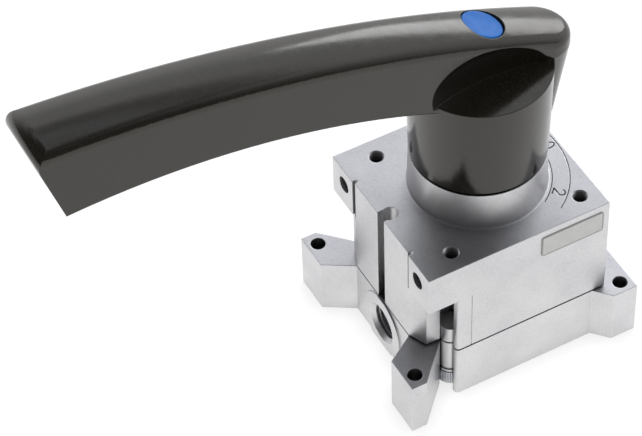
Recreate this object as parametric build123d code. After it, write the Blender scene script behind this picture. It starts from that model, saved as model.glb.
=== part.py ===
from build123d import *
import os
from math import asin, cos, degrees, radians, sin, sqrt, tan

# Hand lever valve: a flat rotary slide turned by a long lever, in a two-piece
# light-metal body with four threaded ports and four feet.
# Millimetres, +Z up. The origin is where the lever's axis meets the underside.
# -X is the way the lever points at its middle position.

# ---- body sizes ----
BODY_LEFT = 33.5            # lever axis to the left port face
BODY_RIGHT = 28.8           # lever axis to the right port face
BODY_HALF_DEPTH = 29.1      # lever axis to the front and back faces
BASE_HEIGHT = 20.4          # underside to the top of the base
GASKET_THICKNESS = 0.4
GASKET_INSET = 0.5
GASKET_BORE_CLEARANCE = 0.6   # gasket back from the chamber's wall
HOUSING_HEIGHT = 38.0       # gasket to the mounting plate
BLOCK_HEIGHT = 14.8         # corner blocks under the mounting plate
BLOCK_PROUD = 0.4           # corner blocks stand out of the left face
BLOCK_GROOVE_WIDTH = 1.2
BLOCK_GROOVE_Y = 16.5
BLOCK_GROOVE_DEPTH = 0.8
COLLAR_HEIGHT = 14.0
COLLAR_RADIUS = 21.2
COLLAR_DRAFT = 0.2
COLLAR_FOOT_FILLET = 0.6

# ---- corner columns and the open pockets beside them ----
COLUMN_HALF_WIDTH = 22.4    # front face of the left columns
COLUMN_RIGHT = 26.0         # right face of the left columns, left of the axis
COLUMN_BEVEL_X = 2.7
COLUMN_BEVEL_Y = 6.2
PANEL_THICKNESS = 3.0       # front and back walls beside the pockets
PANEL_LEFT = 24.1
POCKET_RIGHT = 19.4
POCKET_INNER = 18.6
BOSS_RADIUS = 3.7
BOSS_TOP = 27.0
SEAM_X = 19.0               # fine vertical seam on the front and back walls
SEAM_WIDTH = 0.25
SEAM_DEPTH = 0.2

# ---- feet ----
LEFT_FOOT = [(43.0, 22.3), (43.0, 34.9), (37.8, 34.9), (26.0, 22.6)]
LEFT_FOOT_ROOT = 16.2
RIGHT_FOOT = [(24.6, 29.1), (29.3, 34.3), (37.7, 34.3), (37.7, 17.0)]
RIGHT_FOOT_ROOT = 11.5
FOOT_HOLE_RADIUS = 2.4
FOOT_HOLE_LEFT = 39.45
FOOT_HOLE_RIGHT = 33.85
FOOT_HOLE_Y = 30.4

# ---- ports, G 1/4 ----
PORT_MINOR_RADIUS = 5.72
PORT_MAJOR_RADIUS = 6.58
PORT_PITCH = 1.337
PORT_THREAD = 9.0
PORT_DEPTH = 11.0
PORT_HEIGHT = 9.65
PORT_CHAMFER = 0.5
PORT_BOSS_RADIUS = 11.0
PORT_BOSS_PROUD = 0.5
RIGHT_PORT_Y = -3.0
BACK_PORT_X = 11.0

# ---- mounting holes ----
PANEL_HOLE_SPACING = 44.8
M5_MINOR_RADIUS = 2.07
M5_MAJOR_RADIUS = 2.5
M5_PITCH = 0.8
PANEL_THREAD = 5.0
PANEL_HOLE_DEPTH = 9.0
SIDE_HOLE_RADIUS = 2.8
SIDE_HOLE_SPACING = 44.6
SIDE_HOLE_BELOW_PLATE = 6.3
SIDE_HOLE_DEPTH = 7.0
SLOT_BORE_RADIUS = 2.6
SLOT_BORE_X = 30.3
SLOT_WIDTH = 4.15
SLOT_OFFSET = 0.3

# ---- body screws, M5 cap head from below ----
SCREW_SPACING = 44.2
SCREW_RADIUS = 2.5
SCREW_HEAD_RADIUS = 4.25
SCREW_HEAD_HEIGHT = 5.0
SCREW_CLEARANCE = 0.25
WASHER_CLEARANCE = 0.1
WASHER_INSET = 0.2          # washer inside the edge of the screw's head
SCREW_TIP_GAP = 1.2           # screw tip below the top of the boss
TAPPED_TOP_WALL = 0.6
SCREW_SOCKET_RADIUS = 2.3
SCREW_SOCKET_DEPTH = 2.5
WASHER_THICKNESS = 1.2
HEAD_POCKET_DEPTH = 8.0

# ---- valve works ----
FIT = 0.02                  # clearance of parts that only slip together
RUNNING = 0.05              # clearance of parts that turn in each other
CHAMBER_RADIUS = 17.6
CHAMBER_HEIGHT = 21.2
SEAT_RADIUS = 17.3
SEAT_RECESS_DEPTH = 4.4
SEAT_THICKNESS = 5.0
SEAT_HOLE_CIRCLE = 9.5
SEAT_HOLE_RADIUS = 3.0
VENT_HOLE_RADIUS = 2.2
PASSAGE_RADIUS = 3.4
SUPPLY_PASSAGE_RADIUS = 2.8
VENT_PASSAGE_HEIGHT = 5.2
SEAL_SECTION = 0.7
SEAL_LIP = 1.1
PIN_RADIUS = 1.25
PIN_CIRCLE = 14.6
PIN_IN_BASE = 4.0
PIN_IN_SEAT = 4.0
SLIDE_RADIUS = 15.8
SLIDE_THICKNESS = 6.0
KIDNEY_INNER = 6.3
KIDNEY_OUTER = 12.7
KIDNEY_DEPTH = 1.8
KIDNEY_HALF_ANGLE = 60.0
SPRING_GAP = 4.3
SPRING_RADIUS = 6.0
SPRING_WIRE = 0.6
SPRING_TURNS = 2.0
FLANGE_RADIUS = 15.6
STEM_RADIUS = 7.0
THRUST_THICKNESS = 1.5
THRUST_RADIUS = 15.4
DRIVE_PIN_RADIUS = 1.8
DRIVE_PIN_CIRCLE = 11.0
DRIVE_PIN_DEPTH = 3.0
BALL_RADIUS = 2.5
BALL_SPRING_WIRE = 0.4
BALL_SPRING_TURNS = 2.5
BALL_BORE_WALL = 0.5        # stem's surface to the bottom of the ball's bore
DETENT_NOTCH_DEPTH = 0.5
DETENT_RING_INNER = 15.95
DETENT_RING_DROP = 0.5      # top of the ring below the flange's top
LEVER_TURN = 45.0           # each way from the middle position
STOP_PIN_RADIUS = 1.5
STOP_PIN_CIRCLE = 11.5
STOP_PIN_IN_FLANGE = 3.0
STOP_PIN_IN_HOUSING = 5.0
BUSH_RADIUS = 9.5
BUSH_LENGTH = 17.0
O_RING_SECTION = 0.9
O_RING_PITCH = 3.6
WIPER_RADIUS = 11.0
WIPER_DEPTH = 3.4
WIPER_SUNK = 0.3            # below the collar's top

# ---- lever ----
HUB_GAP = 0.35              # collar to hub
HUB_HEIGHT = 33.9
HUB_RADIUS_LOW = 21.0
HUB_RADIUS_HIGH = 21.8
HUB_LOW_FILLET = 0.8
BLADE_END = 142.9           # lever axis to the far end of the blade
BLADE_END_LEAN = 7.4        # the end face slants in towards the bottom
BLADE_HALF_WIDTH = 9.4
BLADE_HALF_WIDTH_END = 12.0
BLADE_DRAFT = 1.5
BLADE_ROOT_WALL = 0.8       # blade's root stays this far inside the hub's side
BLADE_ROOT_DEPTH = 8.0      # blade's column starts below the hub's top
BLADE_TOP_AXIS_X = -164.0
BLADE_TOP_AXIS_DROP = 405.0  # axes of the blade's two long arcs, below the hub's top
BLADE_TOP_ARC = 450.5
BLADE_LOW_AXIS_X = -124.1
BLADE_LOW_AXIS_DROP = 235.4
BLADE_LOW_ARC = 255.5
BLADE_CROWN = 2.0           # rise of the top's middle over its edges
BLADE_TOP_FILLET = 3.8
BLADE_LOW_FILLET = 0.7
NOSE_END = 29.5             # lever axis to the blade's rounded end over the hub
HEEL_TIP_X = 22.0
HEEL_TIP_RADIUS = 3.4
HEEL_TIP_RISE = 4.0
SCOOP_X = -1.0
SCOOP_LENGTH = 26.5
SCOOP_HEIGHT = 18.0
SCOOP_DEPTH = 8.7
SCOOP_SIDE = 15.0
SCOOP_TILT = 18.0
INSERT_RADIUS = 9.0
INSERT_HEIGHT = 24.0
SQUARE = 10.0               # across the flats of the stem's square
SQUARE_CORNER_RADIUS = 6.7
SQUARE_START = 1.0          # square starts above the hub's underside
INSERT_START = 1.5          # insert starts above the hub's underside
INSERT_ROOF = 1.5
STEM_END_GAP = 0.5
WEB_THICKNESS = 4.0
LEVER_SCREW_RADIUS = 2.5
LEVER_SCREW_HEAD_RADIUS = 4.25
LEVER_SCREW_HEAD_HEIGHT = 5.0
LEVER_SCREW_GRIP = 12.0
LEVER_SCREW_CLEARANCE = 0.2
LEVER_SCREW_RUNOUT = 3.0     # tapped hole below the screw's tip
LEVER_WASHER_RADIUS = 5.0
LEVER_WASHER_THICKNESS = 1.0
HEAD_BORE_RADIUS = 5.4
CAP_X = 0.8
CAP_RADIUS = 6.35
CAP_THICKNESS = 2.2
CAP_SUNK = 0.5
CAP_GAP = 0.35
CAP_EDGE_FILLET = 0.35

# ---- label and scale ----
LABEL_LEFT = 5.0
LABEL_WIDTH = 21.8
LABEL_HEIGHT = 8.2
LABEL_DROP = 2.8
LABEL_THICKNESS = 0.25
LABEL_CORNER = 1.0
SCALE_INNER = 22.6
SCALE_OUTER = 28.0
SCALE_HALF_ANGLE = 58.0
SCALE_LINE = 0.3
SCALE_DEPTH = 0.2
DIGIT_HEIGHT = 4.2
DIGIT_WIDTH = 2.6
DIGIT_STROKE = 0.45

# ---- sizes that follow ----
HOUSING_BOTTOM = BASE_HEIGHT + GASKET_THICKNESS
PLATE_TOP = HOUSING_BOTTOM + HOUSING_HEIGHT
BLOCK_BOTTOM = PLATE_TOP - BLOCK_HEIGHT
COLLAR_TOP = PLATE_TOP + COLLAR_HEIGHT
CHAMBER_TOP = HOUSING_BOTTOM + CHAMBER_HEIGHT
SEAT_FLOOR = BASE_HEIGHT - SEAT_RECESS_DEPTH
SEAT_TOP = SEAT_FLOOR + SEAT_THICKNESS
SLIDE_BOTTOM = SEAT_TOP + RUNNING
SLIDE_TOP = SLIDE_BOTTOM + SLIDE_THICKNESS
FLANGE_BOTTOM = SLIDE_TOP + SPRING_GAP
FLANGE_TOP = CHAMBER_TOP - THRUST_THICKNESS - RUNNING
BALL_Z = (FLANGE_BOTTOM + FLANGE_TOP) / 2
BALL_X = DETENT_RING_INNER - RUNNING - BALL_RADIUS
BUSH_TOP = CHAMBER_TOP + BUSH_LENGTH
WIPER_BOTTOM = COLLAR_TOP - WIPER_DEPTH
HUB_BOTTOM = COLLAR_TOP + HUB_GAP
HUB_TOP = HUB_BOTTOM + HUB_HEIGHT
NOSE_X = NOSE_END - BLADE_HALF_WIDTH
BLADE_TOP_AXIS = (BLADE_TOP_AXIS_X, HUB_TOP - BLADE_TOP_AXIS_DROP)
BLADE_LOW_AXIS = (BLADE_LOW_AXIS_X, HUB_TOP - BLADE_LOW_AXIS_DROP)
INSERT_BOTTOM = HUB_BOTTOM + INSERT_START
INSERT_TOP = INSERT_BOTTOM + INSERT_HEIGHT
STEM_TOP = INSERT_TOP - INSERT_ROOF - STEM_END_GAP
HEAD_SEAT = INSERT_TOP + WEB_THICKNESS
LONG = 400.0                # longer than the whole part, for cutting tools


def square_points(spacing):
    """Corners of a square round the lever's axis."""
    half = spacing / 2
    return [(-half, -half), (-half, half), (half, -half), (half, half)]


SCREW_POINTS = square_points(SCREW_SPACING)
PANEL_HOLE_POINTS = square_points(PANEL_HOLE_SPACING)


def rod(radius, bottom, top, x=0.0, y=0.0):
    """Upright cylinder between two heights."""
    return Pos(x, y, bottom) * Cylinder(radius, top - bottom, align=(Align.CENTER, Align.CENTER, Align.MIN))


def tube(outer, inner, bottom, top, x=0.0, y=0.0):
    """Upright ring between two heights."""
    return rod(outer, bottom, top, x, y) - rod(inner, bottom - 1, top + 1, x, y)


def block(x0, x1, y0, y1, z0, z1):
    """Box between its low and high corners."""
    return Pos((x0 + x1) / 2, (y0 + y1) / 2, (z0 + z1) / 2) * Box(x1 - x0, y1 - y0, z1 - z0)


def prism(points, bottom, top):
    """Upright prism on a closed outline of points."""
    face = make_face(Polyline(*points, close=True))
    return Pos(0, 0, bottom) * extrude(face, amount=top - bottom, dir=(0, 0, 1))


def mirrored(shape):
    """The shape and its mirror image across the XZ plane."""
    return shape + mirror(shape, about=Plane.XZ)


def point_on_circle(radius, angle):
    return radius * cos(radians(angle)), radius * sin(radians(angle))


def thread_tool(minor, major, pitch, threaded, depth, chamfer):
    """Cutter for a tapped hole: axis along +Z, mouth at z = 0, thread to -threaded, drilled to -depth."""
    crest = pitch / 4
    profile = [(0, 1), (major + chamfer + 1, 1), (minor, minor - major - chamfer)]
    z = minor - major - chamfer - crest
    while z - pitch > -threaded:
        profile += [(minor, z), (major, z - (pitch - crest) / 2), (minor, z - (pitch - crest))]
        z -= pitch
    profile += [(minor, -depth), (0, -depth - minor * tan(radians(31)))]
    face = make_face(Polyline(*[(x, 0, z) for x, z in profile], close=True))
    return revolve(face, axis=Axis.Z)


def port_tool():
    return thread_tool(PORT_MINOR_RADIUS, PORT_MAJOR_RADIUS, PORT_PITCH, PORT_THREAD, PORT_DEPTH,
                       PORT_CHAMFER)


def passage(start, end, radius):
    """Straight drilled passage between two points, with a round end."""
    run = Vector(*end) - Vector(*start)
    plane = Plane(origin=start, z_dir=run)
    drilling = plane * Cylinder(radius, run.length, align=(Align.CENTER, Align.CENTER, Align.MIN))
    return drilling + Pos(*end) * Sphere(radius)


# ---- outlines shared by the base, the gasket and the housing ----

def body_outline(bottom, top):
    """Column, main block and rounded walls, without the blocks, feet and pockets."""
    half = [(-BODY_LEFT, 0), (-BODY_LEFT, COLUMN_HALF_WIDTH - COLUMN_BEVEL_Y),
            (-BODY_LEFT + COLUMN_BEVEL_X, COLUMN_HALF_WIDTH), (-COLUMN_RIGHT, COLUMN_HALF_WIDTH),
            (-COLUMN_RIGHT, POCKET_INNER), (BODY_RIGHT, POCKET_INNER), (BODY_RIGHT, 0)]
    column = mirrored(prism(half, bottom, top))
    wall = block(-POCKET_RIGHT, BODY_RIGHT, 0, BODY_HALF_DEPTH, bottom, top)
    panel = block(-PANEL_LEFT, 0, BODY_HALF_DEPTH - PANEL_THICKNESS, BODY_HALF_DEPTH, bottom, top)
    corners = panel.edges().filter_by(Axis.Z).group_by(Axis.X)[0]
    panel = fillet(corners, radius=PANEL_THICKNESS / 2 - 0.02)
    return column + mirrored(wall + panel)


def screw_bosses(bottom, top):
    return mirrored(rod(BOSS_RADIUS, bottom, top, -SCREW_SPACING / 2, SCREW_SPACING / 2))


def stepped_rods(radius, bottom, top):
    """One upright cylinder at each body screw."""
    shape = Part()
    for x, y in SCREW_POINTS:
        shape += rod(radius, bottom, top, x, y)
    return shape


# ---- base ----

def make_base():
    base = body_outline(0, BASE_HEIGHT)
    left = [(-BODY_LEFT, LEFT_FOOT_ROOT)] + [(-x, y) for x, y in LEFT_FOOT] + [(-COLUMN_RIGHT, POCKET_INNER)]
    right = [(BODY_RIGHT - 4, LEFT_FOOT_ROOT)] + RIGHT_FOOT + [(BODY_RIGHT, RIGHT_FOOT_ROOT)]
    base += mirrored(prism(left, 0, BASE_HEIGHT))
    base += mirrored(prism(right, 0, BASE_HEIGHT))
    base += screw_bosses(HEAD_POCKET_DEPTH, BASE_HEIGHT)
    plate = rod(PORT_BOSS_RADIUS, 0, PORT_BOSS_PROUD)
    face_boss = Pos(-BODY_LEFT, 0, PORT_HEIGHT) * Rot(0, -90, 0) * plate
    base += face_boss & block(-LONG, LONG, -LONG, LONG, 0, BASE_HEIGHT)

    for x in (-FOOT_HOLE_LEFT, FOOT_HOLE_RIGHT):
        base -= mirrored(rod(FOOT_HOLE_RADIUS, -1, BASE_HEIGHT + 1, x, FOOT_HOLE_Y))

    base -= rod(SEAT_RADIUS + FIT, SEAT_FLOOR, BASE_HEIGHT + 1)
    base -= Pos(-BODY_LEFT - PORT_BOSS_PROUD, 0, PORT_HEIGHT) * Rot(0, -90, 0) * port_tool()
    base -= Pos(BODY_RIGHT, RIGHT_PORT_Y, PORT_HEIGHT) * Rot(0, 90, 0) * port_tool()
    for x in (-BACK_PORT_X, BACK_PORT_X):
        base -= Pos(x, BODY_HALF_DEPTH, PORT_HEIGHT) * Rot(-90, 0, 0) * port_tool()

    inner_left = -BODY_LEFT - PORT_BOSS_PROUD + PORT_DEPTH
    inner_right = BODY_RIGHT - PORT_DEPTH
    inner_back = BODY_HALF_DEPTH - PORT_DEPTH
    outlets = [((inner_left, 0, PORT_HEIGHT), -SEAT_HOLE_CIRCLE),
               ((inner_right, RIGHT_PORT_Y, PORT_HEIGHT), SEAT_HOLE_CIRCLE)]
    for start, x in outlets:
        base -= passage(start, (x, 0, PORT_HEIGHT), PASSAGE_RADIUS)
        base -= rod(SEAT_HOLE_RADIUS, PORT_HEIGHT, SEAT_FLOOR + 1, x, 0)
    supply_end = (0, SEAT_HOLE_CIRCLE, PORT_HEIGHT)
    base -= passage((-BACK_PORT_X, inner_back, PORT_HEIGHT), supply_end, SUPPLY_PASSAGE_RADIUS)
    base -= rod(SUPPLY_PASSAGE_RADIUS, PORT_HEIGHT, SEAT_FLOOR + 1, 0, SEAT_HOLE_CIRCLE)
    vent_start = PORT_HEIGHT - VENT_HOLE_RADIUS
    base -= passage((BACK_PORT_X, inner_back, vent_start), (0, 0, VENT_PASSAGE_HEIGHT), VENT_HOLE_RADIUS)
    base -= rod(VENT_HOLE_RADIUS, VENT_PASSAGE_HEIGHT, SEAT_FLOOR + 1)

    base -= stepped_rods(SCREW_RADIUS + SCREW_CLEARANCE, -1, BASE_HEIGHT + 1)
    base -= stepped_rods(SCREW_HEAD_RADIUS + SCREW_CLEARANCE, -1, HEAD_POCKET_DEPTH)
    for x, y in seat_pin_points():
        base -= rod(PIN_RADIUS + FIT / 2, SEAT_FLOOR - PIN_IN_BASE - FIT, SEAT_FLOOR + 1, x, y)
    return base


def seat_pin_points():
    return [point_on_circle(PIN_CIRCLE, angle) for angle in (-135, -45)]


def seat_holes():
    """Place, hole radius and seal radius of each hole in the seat."""
    wide = SEAT_HOLE_RADIUS + SEAL_LIP
    places = [(-SEAT_HOLE_CIRCLE, 0), (SEAT_HOLE_CIRCLE, 0), (0, SEAT_HOLE_CIRCLE)]
    vent = (0, 0, VENT_HOLE_RADIUS, VENT_HOLE_RADIUS + SEAL_LIP)
    return [(x, y, SEAT_HOLE_RADIUS, wide) for x, y in places] + [vent]


def make_gasket():
    """Flat gasket, drawn in all round, with the pockets and the screw holes cut out."""
    top_face = body_outline(BASE_HEIGHT, HOUSING_BOTTOM).faces().sort_by(Axis.Z)[-1]
    outline = offset(make_face(top_face.outer_wire()), amount=-GASKET_INSET, kind=Kind.INTERSECTION)
    gasket = extrude(outline, amount=GASKET_THICKNESS, dir=(0, 0, -1))
    low = BASE_HEIGHT - 1
    high = HOUSING_BOTTOM + 1
    pocket = block(-LONG, -POCKET_RIGHT, POCKET_INNER, BODY_HALF_DEPTH, low, high)
    gasket -= mirrored(pocket & block(-PANEL_LEFT, 0, 0, BODY_HALF_DEPTH - PANEL_THICKNESS, low, high))
    gasket += screw_bosses(BASE_HEIGHT, HOUSING_BOTTOM)
    gasket -= rod(CHAMBER_RADIUS + GASKET_BORE_CLEARANCE, low, high)
    return gasket - stepped_rods(SCREW_RADIUS + SCREW_CLEARANCE, low, high)


# ---- housing ----

def make_housing():
    housing = body_outline(HOUSING_BOTTOM, BLOCK_BOTTOM)
    housing += screw_bosses(HOUSING_BOTTOM, BOSS_TOP)
    housing += block(-BODY_LEFT, BODY_RIGHT, -BODY_HALF_DEPTH, BODY_HALF_DEPTH, BLOCK_BOTTOM, PLATE_TOP)
    corner = block(-BODY_LEFT - BLOCK_PROUD, 0, BLOCK_GROOVE_Y, BODY_HALF_DEPTH, BLOCK_BOTTOM, PLATE_TOP)
    housing += mirrored(corner)
    groove_low = BLOCK_GROOVE_Y - BLOCK_GROOVE_WIDTH / 2
    groove_high = BLOCK_GROOVE_Y + BLOCK_GROOVE_WIDTH / 2
    groove_end = -BODY_LEFT + BLOCK_GROOVE_DEPTH
    groove = block(-LONG, groove_end, groove_low, groove_high, BLOCK_BOTTOM - 1, PLATE_TOP + 1)
    groove += rod(BLOCK_GROOVE_WIDTH / 2, BLOCK_BOTTOM - 1, PLATE_TOP + 1, groove_end, BLOCK_GROOVE_Y)
    housing -= mirrored(groove)

    lower = Circle(COLLAR_RADIUS + COLLAR_DRAFT)
    upper = Pos(0, 0, COLLAR_HEIGHT) * Circle(COLLAR_RADIUS - COLLAR_DRAFT)
    housing += Pos(0, 0, PLATE_TOP) * loft([lower, upper])
    at_plate = [edge for edge in housing.edges().filter_by(GeomType.CIRCLE)
                if abs(edge.center().Z - PLATE_TOP) < FIT]
    foot = [edge for edge in at_plate if abs(edge.radius - COLLAR_RADIUS - COLLAR_DRAFT) < FIT]
    housing = fillet(foot, radius=COLLAR_FOOT_FILLET)

    housing -= rod(CHAMBER_RADIUS, HOUSING_BOTTOM - 1, CHAMBER_TOP)
    housing -= rod(BUSH_RADIUS, CHAMBER_TOP - 1, BUSH_TOP)
    housing -= rod(STEM_RADIUS + RUNNING, BUSH_TOP - 1, COLLAR_TOP + 1)
    housing -= rod(WIPER_RADIUS, WIPER_BOTTOM, COLLAR_TOP + 1)
    pin_top = CHAMBER_TOP + STOP_PIN_IN_HOUSING + FIT
    housing -= rod(STOP_PIN_RADIUS + FIT / 2, CHAMBER_TOP - 1, pin_top, 0, STOP_PIN_CIRCLE)

    panel_hole = thread_tool(M5_MINOR_RADIUS, M5_MAJOR_RADIUS, M5_PITCH, PANEL_THREAD, PANEL_HOLE_DEPTH, 0)
    for x, y in PANEL_HOLE_POINTS:
        housing -= Pos(x, y, PLATE_TOP) * panel_hole
    housing -= stepped_rods(M5_MINOR_RADIUS, HOUSING_BOTTOM - 1, BOSS_TOP - TAPPED_TOP_WALL)

    side_hole = rod(SIDE_HOLE_RADIUS, -1, SIDE_HOLE_DEPTH)
    side_x = -BODY_LEFT - BLOCK_PROUD
    side_z = PLATE_TOP - SIDE_HOLE_BELOW_PLATE
    housing -= mirrored(Pos(side_x, SIDE_HOLE_SPACING / 2, side_z) * Rot(0, 90, 0) * side_hole)

    housing -= rod(SLOT_BORE_RADIUS, HOUSING_BOTTOM - 1, PLATE_TOP + 1, -SLOT_BORE_X)
    slot_low = SLOT_OFFSET - SLOT_WIDTH / 2
    housing -= block(-LONG, -SLOT_BORE_X, slot_low, slot_low + SLOT_WIDTH, HOUSING_BOTTOM - 1, PLATE_TOP + 1)

    seam = block(-SEAM_X, -SEAM_X + SEAM_WIDTH, BODY_HALF_DEPTH - SEAM_DEPTH, LONG,
                 HOUSING_BOTTOM - 1, BLOCK_BOTTOM)
    housing -= mirrored(seam)
    return housing - scale_engraving(SCALE_DEPTH, 1.0)


# ---- scale on the mounting plate ----

def digit_faces():
    """Outline figures 0, 1 and 2, upright and centred on the origin."""
    half_w = DIGIT_WIDTH / 2
    half_h = DIGIT_HEIGHT / 2
    stroke = DIGIT_STROKE
    zero = Ellipse(half_w, half_h) - Ellipse(half_w - stroke, half_h - stroke)
    one = Rectangle(stroke, DIGIT_HEIGHT)
    flag_tip = -half_w * 0.8
    flag = Polyline((0, half_h), (flag_tip, half_h - half_w), (flag_tip, half_h - half_w - stroke),
                    (0, half_h - stroke), close=True)
    one += make_face(flag)
    bow = Pos(0, half_h - half_w) * (Circle(half_w) - Circle(half_w - stroke))
    bow -= Pos(-half_w, half_h - 1.5 * half_w) * Rectangle(2 * half_w, half_w)
    bow -= Pos(0, half_h - 2 * half_w - stroke) * Rectangle(4 * half_w, 2 * half_w)
    neck_z = half_h - half_w - stroke
    leg = Polyline((half_w, neck_z), (half_w - stroke, neck_z), (-half_w, -half_h + stroke),
                   (-half_w, -half_h), (half_w, -half_h), (half_w, -half_h + stroke),
                   (-half_w + 1.6 * stroke, -half_h + stroke), close=True)
    two = bow + make_face(leg)
    return {0: zero, LEVER_TURN: one, -LEVER_TURN: two}


def scale_engraving(depth, rise):
    """Lines and figures of the position scale, from depth below the plate to rise above it."""
    bottom = PLATE_TOP - depth
    marks = Part()
    ends = (-SCALE_HALF_ANGLE, 0, SCALE_HALF_ANGLE)
    keep = [(0, 0)] + [point_on_circle(2 * SCALE_OUTER, angle) for angle in ends]
    wedge = prism(keep, bottom, PLATE_TOP + rise)
    for radius in (SCALE_INNER, SCALE_OUTER):
        marks += tube(radius + SCALE_LINE / 2, radius - SCALE_LINE / 2, bottom, PLATE_TOP + rise) & wedge
    for angle, face in digit_faces().items():
        figure = extrude(face, amount=depth + rise, dir=(0, 0, 1))
        middle = (SCALE_INNER + SCALE_OUTER) / 2
        marks += Rot(0, 0, angle) * Pos(middle, 0, bottom) * Rot(0, 0, -90) * figure
    return marks


# ---- valve works in the chamber ----

def make_seat():
    seat = rod(SEAT_RADIUS, SEAT_FLOOR, SEAT_TOP)
    for x, y, hole, seal in seat_holes():
        seat -= rod(hole, SEAT_FLOOR - 1, SEAT_TOP + 1, x, y)
        gland = SEAL_SECTION + FIT
        seat -= tube(seal + gland, seal - gland, SEAT_FLOOR - 1, SEAT_FLOOR + 2 * gland, x, y)
    for x, y in seat_pin_points():
        seat -= rod(PIN_RADIUS + FIT / 2, SEAT_FLOOR - 1, SEAT_FLOOR + PIN_IN_SEAT + FIT, x, y)
    return seat


def make_seat_seals():
    seals = Part()
    for x, y, _, seal in seat_holes():
        seals += Pos(x, y, SEAT_FLOOR + SEAL_SECTION + FIT) * Torus(seal, SEAL_SECTION)
    return seals


def make_seat_pins():
    pins = Part()
    for x, y in seat_pin_points():
        pins += rod(PIN_RADIUS, SEAT_FLOOR - PIN_IN_BASE, SEAT_FLOOR + PIN_IN_SEAT, x, y)
    return pins


def sector(inner, outer, start, end, bottom, top):
    """Ring sector between two angles in degrees, under half a turn."""
    reach = 2 * outer
    spread = [(0, 0)] + [point_on_circle(reach, start + (end - start) * i / 4) for i in range(5)]
    return tube(outer, inner, bottom, top) & prism(spread, bottom, top)


def make_slide():
    slide = rod(SLIDE_RADIUS, SLIDE_BOTTOM, SLIDE_TOP)
    low = SLIDE_BOTTOM - 1
    high = SLIDE_BOTTOM + KIDNEY_DEPTH
    for inner, middle in ((KIDNEY_INNER, 90), (VENT_HOLE_RADIUS / 2, -90)):
        start = middle - KIDNEY_HALF_ANGLE
        slide -= sector(inner, KIDNEY_OUTER, start, start + 2 * KIDNEY_HALF_ANGLE, low, high)
    slide -= rod(VENT_HOLE_RADIUS, low, high)
    return slide - drive_pin_rods(DRIVE_PIN_RADIUS + FIT, SLIDE_TOP - DRIVE_PIN_DEPTH - FIT, SLIDE_TOP + 1)


def drive_pin_rods(radius, bottom, top):
    """The two drive pins stand in front of and behind the stem."""
    return mirrored(rod(radius, bottom, top, 0, DRIVE_PIN_CIRCLE))


def coil_spring(radius, wire, turns, bottom, top):
    """Round-wire compression spring along +Z."""
    height = top - bottom - 2 * wire
    path = Pos(0, 0, bottom + wire) * Helix(pitch=height / turns, height=height, radius=radius)
    section = Plane(origin=path @ 0, z_dir=path % 0) * Circle(wire)
    return sweep(section, path=path, is_frenet=True)


def square_bar(clearance, bottom, top):
    """Square of the stem with its corners turned down, opened out by a clearance."""
    half = SQUARE / 2 + clearance
    bar = block(-half, half, -half, half, bottom, top)
    return bar & rod(SQUARE_CORNER_RADIUS + clearance, bottom, top)


def make_driver():
    driver = rod(FLANGE_RADIUS, FLANGE_BOTTOM, FLANGE_TOP)
    square_bottom = HUB_BOTTOM + SQUARE_START
    driver += rod(STEM_RADIUS, FLANGE_TOP, square_bottom)
    driver += square_bar(0, square_bottom, STEM_TOP)
    tapped_bottom = STEM_TOP - LEVER_SCREW_GRIP - LEVER_SCREW_RUNOUT
    driver -= rod(LEVER_SCREW_RADIUS + FIT, tapped_bottom, STEM_TOP + 1)
    groove = STEM_RADIUS - 2 * O_RING_SECTION + RUNNING
    for z in o_ring_heights():
        half = O_RING_SECTION + 2 * FIT
        driver -= tube(STEM_RADIUS + 1, groove - FIT, z - half, z + half)
    pin_top = FLANGE_BOTTOM + DRIVE_PIN_DEPTH + FIT
    driver -= drive_pin_rods(DRIVE_PIN_RADIUS + FIT / 2, FLANGE_BOTTOM - 1, pin_top)
    ball_bore = rod(BALL_RADIUS + FIT, STEM_RADIUS + BALL_BORE_WALL, FLANGE_RADIUS + 1)
    bore = Pos(0, 0, BALL_Z) * Rot(0, 90, 0) * ball_bore
    driver -= bore + Rot(0, 0, 180) * bore
    slot_bottom = FLANGE_TOP - STOP_PIN_IN_FLANGE - RUNNING
    play = degrees(2 * RUNNING / STOP_PIN_CIRCLE)
    half_width = STOP_PIN_RADIUS + 2 * RUNNING
    slot = sector(STOP_PIN_CIRCLE - half_width, STOP_PIN_CIRCLE + half_width, 90 - LEVER_TURN - play,
                  90 + LEVER_TURN + play, slot_bottom, FLANGE_TOP + 1)
    for angle in (90 - LEVER_TURN - play, 90 + LEVER_TURN + play):
        x, y = point_on_circle(STOP_PIN_CIRCLE, angle)
        slot += rod(half_width, slot_bottom, FLANGE_TOP + 1, x, y)
    return driver - slot


def o_ring_heights():
    middle = (BUSH_TOP + WIPER_BOTTOM) / 2
    return [middle - O_RING_PITCH / 2, middle + O_RING_PITCH / 2]


def make_stem_o_rings():
    rings = Part()
    for z in o_ring_heights():
        rings += Pos(0, 0, z) * Torus(STEM_RADIUS - O_RING_SECTION + RUNNING - FIT, O_RING_SECTION - FIT)
    return rings


def make_detent_ring():
    ring = tube(CHAMBER_RADIUS - FIT / 2, DETENT_RING_INNER, FLANGE_BOTTOM,
                FLANGE_TOP - DETENT_RING_DROP)
    reach = DETENT_RING_INNER + DETENT_NOTCH_DEPTH - BALL_RADIUS
    for side in (0, 180):
        for turn in (-LEVER_TURN, 0, LEVER_TURN):
            x, y = point_on_circle(reach, side + turn)
            ring -= rod(BALL_RADIUS, FLANGE_BOTTOM - 1, FLANGE_TOP + 1, x, y)
    return ring


def make_detent_balls():
    ball = Pos(BALL_X, 0, BALL_Z) * Sphere(BALL_RADIUS)
    return ball + Rot(0, 0, 180) * ball


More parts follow.
